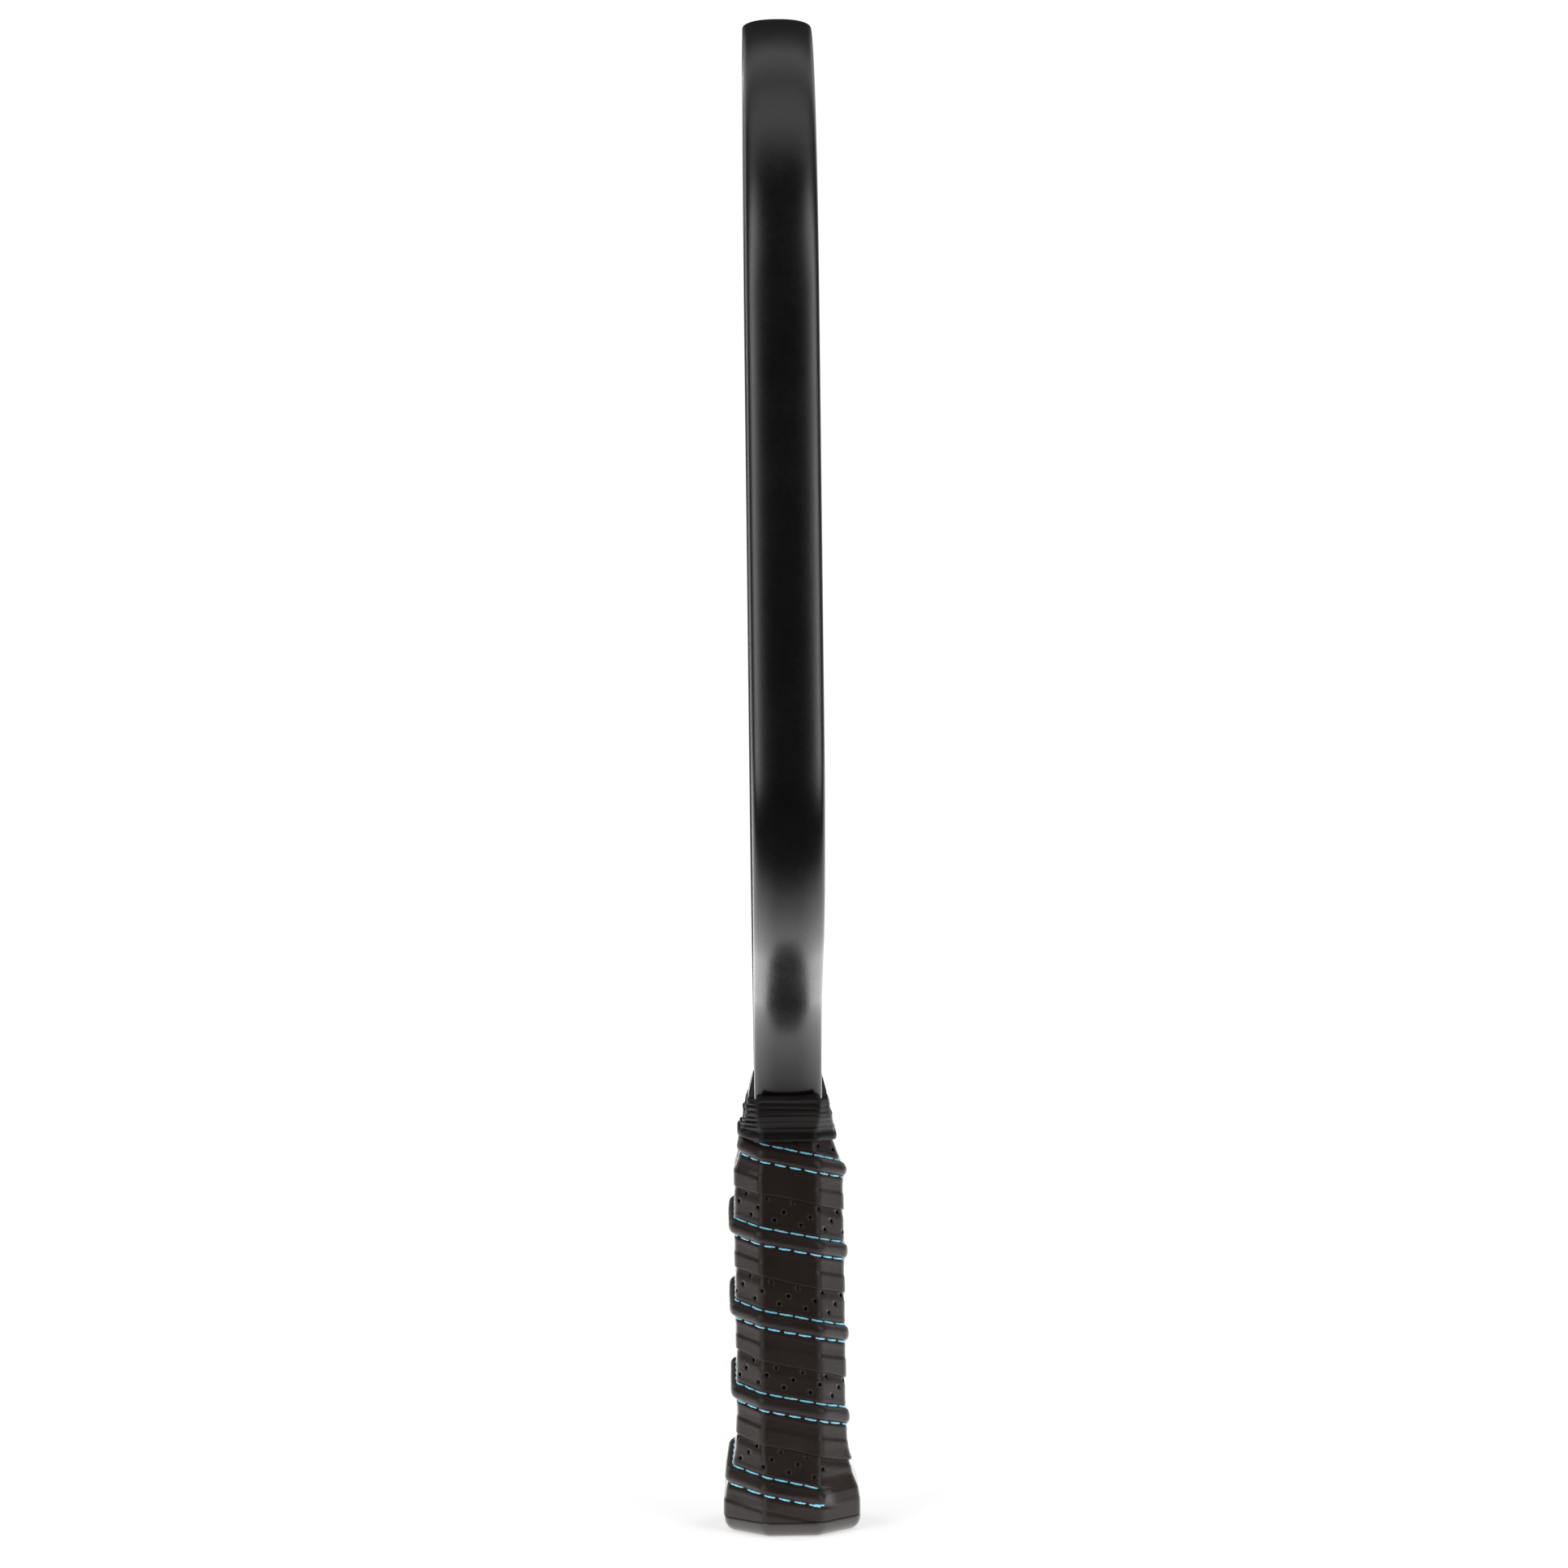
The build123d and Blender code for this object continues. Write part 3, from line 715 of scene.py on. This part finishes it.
# Each rib's lower edge, its height and how proud it stands, in mm
COLLAR_RIBS = [
    (105.6, 1.5, 0.30),
    (107.1, 1.7, 0.34),
    (108.8, 1.5, 0.22),
    (110.3, 1.8, 0.34),
    (112.1, 1.6, 0.20),
    (113.7, 1.5, 0.26),
]
# Height, half width, half thickness and corner cut, in mm
COLLAR_SECTIONS = [
    (103.0, 17.9, 12.15, 5.2),
    (105.2, 17.9, 12.20, 5.2),
    (110.0, 21.2, 11.40, 3.8),
    (116.0, 22.9, 10.65, 2.8),
]
# Height and offset of its turned-out lower lip and of its top edge, in mm
COLLAR_LIP = [
    (103.15, -0.6),
    (103.05, -0.2),
    (103.15, 0.25),
    (103.45, 0.5),
    (104.2, 0.6),
    (104.8, 0.5),
    (105.15, 0.2),
    (105.4, 0.0),
]
COLLAR_EDGE = [(115.5, 0.0), (115.8, -0.06), (115.98, -0.25), (115.98, -0.5), (115.7, -0.7)]


def collar_outline(height):
    """Outer half width, half thickness and corner cut of the collar at a height."""
    table = np.array(COLLAR_SECTIONS) * MM
    return [np.interp(height, table[:, 0], table[:, k]) for k in (1, 2, 3)]


def collar_profile():
    """Heights, offsets and rib offsets of the collar's outside, from its lower lip to its top."""
    rows = [(z, offset, 0.0) for z, offset in COLLAR_LIP]
    for base, tall, proud in COLLAR_RIBS:
        for share in np.linspace(0, 1, 9)[:-1]:
            groove = max(0.0, 1 - share / 0.14) if share < 0.5 else max(0.0, 1 - (1 - share) / 0.14)
            rows.append((base + share * tall, 0.0, proud * math.sin(math.pi * share) - 0.30 * groove))
    return np.array(rows + [(z, offset, 0.0) for z, offset in COLLAR_EDGE]) * MM


def collar_ribbing(turn):
    """1 where the collar is ribbed, less on the plain panels of its narrow sides."""
    at = (turn + 0.5) % 1 - 0.5
    front = 1.35 * smoothstep(0.06, 0.10, -at) * smoothstep(0.40, 0.36, -at)
    back = smoothstep(0.16, 0.20, at) * smoothstep(0.40, 0.36, at)
    return np.maximum(np.maximum(front, back), 0.25)


def make_collar():
    """Ribbed rubber band with a plain recessed panel on each side, dipping a little over the faces."""
    turn = np.arange(COLLAR_COLUMNS) / COLLAR_COLUMNS
    ribbing = collar_ribbing(turn)
    across = np.abs((turn + 0.25) % 0.5 - 0.25)
    at = (turn + 0.5) % 1 - 0.5
    over_rib = smoothstep(-0.46, -0.34, at) * smoothstep(-0.09, -0.17, at)
    rings = []
    for height, offset, rib in collar_profile():
        share = smoothstep(106 * MM, COLLAR_TOP, height)
        lifted = over_rib * COLLAR_LIFT * (1 - smoothstep(104 * MM, 108 * MM, height))
        level = height + lifted
        place, normal = octagon(turn, *collar_outline(level), radius=2.4 * MM)
        face = np.abs(normal[:, 1]) ** 2
        above = smoothstep(106.3 * MM, 106.8 * MM, height)
        below = smoothstep(114.6 * MM, 114.1 * MM, height)
        panel = smoothstep(0.072, 0.064, across) * above * below
        uneven = 1 + 0.6 * np.sin(2 * math.pi * (turn * 2 + height / (5.3 * MM)))
        wave = 0.16 * MM * np.sin(2 * math.pi * (turn * 3 + height / (9 * MM)))
        sag = share * (2.3 * MM * face + 0.25 * MM * np.sin(2 * math.pi * (turn + 0.15)))
        z = np.clip(level - sag + wave * share, COLLAR_BOTTOM, COLLAR_TOP)
        swell = over_rib * 0.7 * MM * (1 - smoothstep(104.5 * MM, 107.5 * MM, height))
        out = offset + swell + rib * ribbing * np.where(rib > 0, uneven, 1) - 0.22 * MM * panel
        rings.append(np.column_stack([place + out[:, None] * normal, z]))
    faces = grid_faces(len(rings), COLLAR_COLUMNS, around=True)
    collar = new_mesh("collar_band", np.concatenate(rings), faces)
    return adopt(collar, ["collar"], rubber_material())


# ---- Butt cap ------------------------------------------------------------------------------


def make_cap():
    """Rounded rim, flat end and the plain disc's recess, closed above inside the wrap."""
    turn = np.arange(COLLAR_COLUMNS) / COLLAR_COLUMNS
    disc_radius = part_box("butt_end_disc")[1].x
    edge = 3.4 * MM
    sizes = [np.full_like(turn, size) for size in WRAP[0, 1:]]
    rings = []

    def ring(inset, height, roundness=0.0, radius=0.0):
        place, normal = octagon(turn, *sizes, radius=4 * MM)
        place = place - inset * normal
        angle = np.arctan2(place[:, 1], place[:, 0])
        circle = radius * np.column_stack([np.cos(angle), np.sin(angle)])
        place = (1 - roundness) * place + roundness * circle
        rings.append(np.column_stack([place, np.full_like(turn, height)]))

    ring(2.2 * MM, 9 * MM)
    ring(2.0 * MM, RIM_HEIGHT + 0.05 * MM)
    ring(0.25 * MM, RIM_HEIGHT)
    ring(0.06 * MM, RIM_HEIGHT - 0.12 * MM)
    for angle in np.linspace(0, math.pi / 2, 12):
        ring(edge * (1 - math.cos(angle)), edge * (1 - math.sin(angle)))
    for share in (0.25, 0.5, 0.75):
        ring(edge, 0.0, share, disc_radius + 0.6 * MM)
    ring(edge, 0.0, 1.0, disc_radius + 0.25 * MM)
    ring(edge, 0.12 * MM, 1.0, disc_radius + 0.05 * MM)
    ring(edge, 0.9 * MM, 1.0, disc_radius)
    faces = grid_faces(len(rings), COLLAR_COLUMNS, around=True)
    cap = new_mesh("butt_cap_rim", np.concatenate(rings), [tuple(reversed(f)) for f in faces])
    plastic = moulded_material("cap_plastic", rgb(30, 25, 23), rgb(38, 32, 30), 0.4)
    return adopt(cap, ["butt_cap"], plastic)


def make_disc():
    """Plain end disc with a few turned rings."""
    columns = 128
    low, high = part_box("butt_end_disc")
    radius = high.x
    inner_groove = [(0.30, 0.0), (0.34, 0.10), (0.38, 0.10), (0.42, 0.0)]
    outer_groove = [(0.74, 0.0), (0.78, 0.12), (0.82, 0.12), (0.86, 0.0)]
    rounded_edge = [(0.965, 0.0), (0.985, 0.04), (0.995, 0.12), (0.995, 0.75)]
    angle = np.arange(columns) / columns * 2 * math.pi
    rings = []
    for share, rise in inner_groove + outer_groove + rounded_edge:
        circle = share * radius * np.column_stack([np.cos(angle), np.sin(angle)])
        rings.append(np.column_stack([circle, np.full(columns, low.z + rise * MM)]))
    points = np.concatenate(rings)
    faces = grid_faces(len(rings), columns, around=True)
    faces.append(tuple(reversed(range(columns))))
    disc = new_mesh("butt_end_plain_disc", points, [tuple(reversed(f)) for f in faces])
    plastic = moulded_material("disc_plastic", rgb(34, 34, 35), rgb(44, 44, 46), 0.3)
    return adopt(disc, ["butt_end_disc"], plastic)


# ---- CAD nodes that stay -------------------------------------------------------------------


def dress(names, material):
    for name in names:
        slots = nodes[name].material_slots
        if not slots:
            nodes[name].data.materials.append(material)
        for slot in slots:
            slot.material = material


# Node, material name, dark and light colour, roughness and the size of its mottling
HIDDEN_PIECES = [
    (["honeycomb_core"], "core_plastic", (190, 200, 205), (225, 230, 230), 0.45, 3 * MM),
    (["core_scrim_front", "core_scrim_back"], "core_scrim", (205, 205, 195), (235, 235, 230), 0.8, 0.6 * MM),
    (["edge_guard_tape"], "edge_adhesive", (190, 185, 160), (215, 210, 190), 0.4, 2 * MM),
    (["grip_tape_backing"], "backing_foam", (50, 50, 50), (75, 75, 75), 0.8, 0.5 * MM),
    (["finishing_tape"], "finishing_vinyl", (25, 25, 26), (40, 40, 42), 0.3, 3 * MM),
]


def dress_nodes():
    """Materials for the CAD nodes that keep their own shape."""
    dress(["face_sheet_front", "face_sheet_back"], face_material())
    shell = moulded_material("shell_foam", rgb(26, 24, 24), rgb(36, 34, 33), 0.36, 0.8 * MM)
    dress(["handle_shell_front", "handle_shell_back"], shell)
    for names, name, dark, light, gloss, size in HIDDEN_PIECES:
        dress(names, inner_material(name, rgb(*dark), rgb(*light), gloss, size))
    dress(["butt_cap_staples"], steel_material())


# ---- Stage ---------------------------------------------------------------------------------

CAMERA_DISTANCE = 1.025  # of the lens from the paddle's axis
CAMERA_HEIGHT = 0.1967
CAMERA_SIDE = 0.0001
CAMERA_LENS = 88.4
CAMERA_ROLL = 0.67  # degrees, the paddle's head leans to the left of the frame
CAMERA_YAW = 0.7  # degrees round the paddle
FLOOR_BACK, FLOOR_FRONT, FLOOR_SIDE = -6, 0.42, 6
FLOOR_WHITE = (0.85, 0.85, 0.85, 1)


def make_camera():
    """A long lens on the paddle's edge, at the height of its middle."""
    data = bpy.data.cameras.new("edge_view")
    data.lens = CAMERA_LENS
    data.sensor_width = 36
    data.clip_start, data.clip_end = 0.05, 50
    camera = bpy.data.objects.new("edge_view", data)
    bpy.context.scene.collection.objects.link(camera)
    look = Matrix(((0, 0, 1), (1, 0, 0), (0, 1, 0))).to_4x4()
    roll = Matrix.Rotation(math.radians(-CAMERA_ROLL), 4, "Z")
    yaw = Matrix.Rotation(math.radians(-CAMERA_YAW), 4, "Z")
    place = yaw @ Matrix.Translation((CAMERA_DISTANCE, CAMERA_SIDE, CAMERA_HEIGHT)) @ look @ roll
    camera.matrix_world = place
    bpy.context.scene.camera = camera


def make_floor():
    """Pale table, evenly white to the eye. In reflections and in the light it throws, it has a painted glow,
    bright under and beside the paddle and dim in front of it, with a painted shadow in a narrow strip
    straight in front.
    """
    left = [(FLOOR_BACK, -FLOOR_SIDE, 0), (FLOOR_FRONT, -FLOOR_SIDE, 0)]
    corners = left + [(x, -y, z) for x, y, z in reversed(left)]
    floor = new_mesh("floor", corners, [(0, 1, 2, 3)])
    m = Finish("floor_white_painted_glow", roughness=0.9)
    m.shader.inputs["Base Color"].default_value = FLOOR_WHITE
    m.shader.inputs["Emission Color"].default_value = (1, 1, 1, 1)
    m.shader.inputs["Emission Strength"].default_value = 0.5
    where = m.node("ShaderNodeSeparateXYZ", {"Vector": m.place()})
    beside = m.math("ABSOLUTE", where.outputs["Y"])
    forward = where.outputs["X"]
    # Painted glow, for rays other than the eye's: a pool of light under and behind the paddle, fading ahead
    # of it and brighter beside it. A narrow strip straight in front gets no side glow, which leaves a painted
    # shadow there.
    middle = m.remap(forward, 0.03, 0.17, 2.1, 0.05)
    outwards = m.remap(beside, 0.02, 0.06, 0.0, 0.9)
    sides = m.math("MULTIPLY", outwards, m.remap(forward, 0.10, 0.20, 1.0, 0.0))
    # Emission of the painted pool of light and its painted shadow strip.
    painted_light_pool = m.node("ShaderNodeEmission", {"Color": (1, 1, 1, 1), "Strength": m.math("ADD", middle, sides)})
    eye = m.node("ShaderNodeLightPath").outputs["Is Camera Ray"]
    both = m.node("ShaderNodeMixShader", {0: eye, 1: painted_light_pool.outputs[0], 2: m.shader.outputs[0]})
    m.tree.links.new(both.outputs[0], m.tree.nodes["Material Output"].inputs["Surface"])
    floor.data.materials.append(m.material)


GLOW_SCALE = 4.0
# Brightness of the studio by the angle from +X, in degrees: to the sides (two tall softboxes,
# then a pale wall) and straight up and over (two softboxes overhead)
GLOW_SIDE = [
    (0, 0.01),
    (16, 0.02),
    (26, 0.25),
    (38, 2.0),
    (46, 4.0),
    (56, 4.0),
    (64, 0.8),
    (78, 0.12),
    (100, 0.2),
    (118, 1.7),
    (140, 1.2),
    (160, 0.03),
]
GLOW_OVER = [
    (0, 0.01),
    (58, 0.02),
    (70, 1.0),
    (82, 1.25),
    (90, 0.8),
    (98, 0.3),
    (106, 0.7),
    (114, 0.9),
    (122, 0.25),
    (132, 0.05),
    (150, 0.02),
]


def make_world():
    """White all round for the eye. What lights the paddle has softboxes, walls and a dark front."""
    world = bpy.data.worlds.new("studio")
    bpy.context.scene.world = world
    world.use_nodes = True
    tree = world.node_tree
    tree.nodes.clear()

    def node(kind, inputs=None, **settings):
        made = tree.nodes.new(kind)
        for key, value in settings.items():
            setattr(made, key, value)
        for key, value in (inputs or {}).items():
            if isinstance(value, bpy.types.NodeSocket):
                tree.links.new(value, made.inputs[key])
            else:
                made.inputs[key].default_value = value
        return made

    def ramp(share, table):
        made = node("ShaderNodeValToRGB", {"Fac": share})
        stops = made.color_ramp.elements
        while len(stops) < len(table):
            stops.new(0.5)
        for stop, (angle, glow) in zip(stops, table):
            stop.position = angle / 180
            stop.color = (*[glow / GLOW_SCALE] * 3, 1)
        return made.outputs["Color"]

    toward = node("ShaderNodeSeparateXYZ", {"Vector": node("ShaderNodeTexCoord").outputs["Generated"]})
    angle = node("ShaderNodeMath", {0: toward.outputs["X"]}, operation="ARCCOSINE").outputs[0]
    share = node("ShaderNodeMath", {0: angle, 1: 1 / math.pi}, operation="MULTIPLY").outputs[0]
    sideways = node("ShaderNodeMath", {0: toward.outputs["Y"]}, operation="ABSOLUTE").outputs[0]
    slant = node("ShaderNodeMath", {0: toward.outputs["Z"], 1: sideways}, operation="ARCTAN2").outputs[0]
    rising = {"Value": slant, "From Min": 0.7, "From Max": 1.2, "To Min": 0.0, "To Max": 1.0}
    over = node("ShaderNodeMapRange", rising, interpolation_type="SMOOTHSTEP").outputs["Result"]
    height = toward.outputs["Z"]
    falling = {"Value": height, "From Min": -0.42, "From Max": -0.18, "To Min": 0.0, "To Max": 1.0}
    under = node("ShaderNodeMapRange", falling, interpolation_type="SMOOTHSTEP").outputs["Result"]
    ramps = {"Fac": over, "Color1": ramp(share, GLOW_SIDE), "Color2": ramp(share, GLOW_OVER)}
    glow = node("ShaderNodeMixRGB", ramps)
    strength = node("ShaderNodeMath", {0: under, 1: GLOW_SCALE}, operation="MULTIPLY").outputs[0]
    lit = node("ShaderNodeBackground", {"Color": glow.outputs[0], "Strength": strength})
    seen = node("ShaderNodeBackground", {"Color": (1, 1, 1, 1), "Strength": 1.05})
    eye = node("ShaderNodeLightPath").outputs["Is Camera Ray"]
    both = node("ShaderNodeMixShader", {0: eye, 1: lit.outputs[0], 2: seen.outputs[0]})
    node("ShaderNodeOutputWorld", {"Surface": both.outputs[0]})


# ---- Scene ---------------------------------------------------------------------------------

THREAD = thread_material()
make_camera()
make_world()
make_floor()
make_guard()
make_tape()
make_rib_cord()
make_stitches("stitch_line_upper", "stitch_thread_upper", -STITCH_OFFSET, 3.6 * MM, 0.012)
make_stitches("stitch_line_lower", "stitch_thread_lower", STITCH_OFFSET, 3.2 * MM, 0.006)
make_collar()
make_cap()
make_disc()
dress_nodes()
bpy.context.scene.view_settings.view_transform = "Standard"
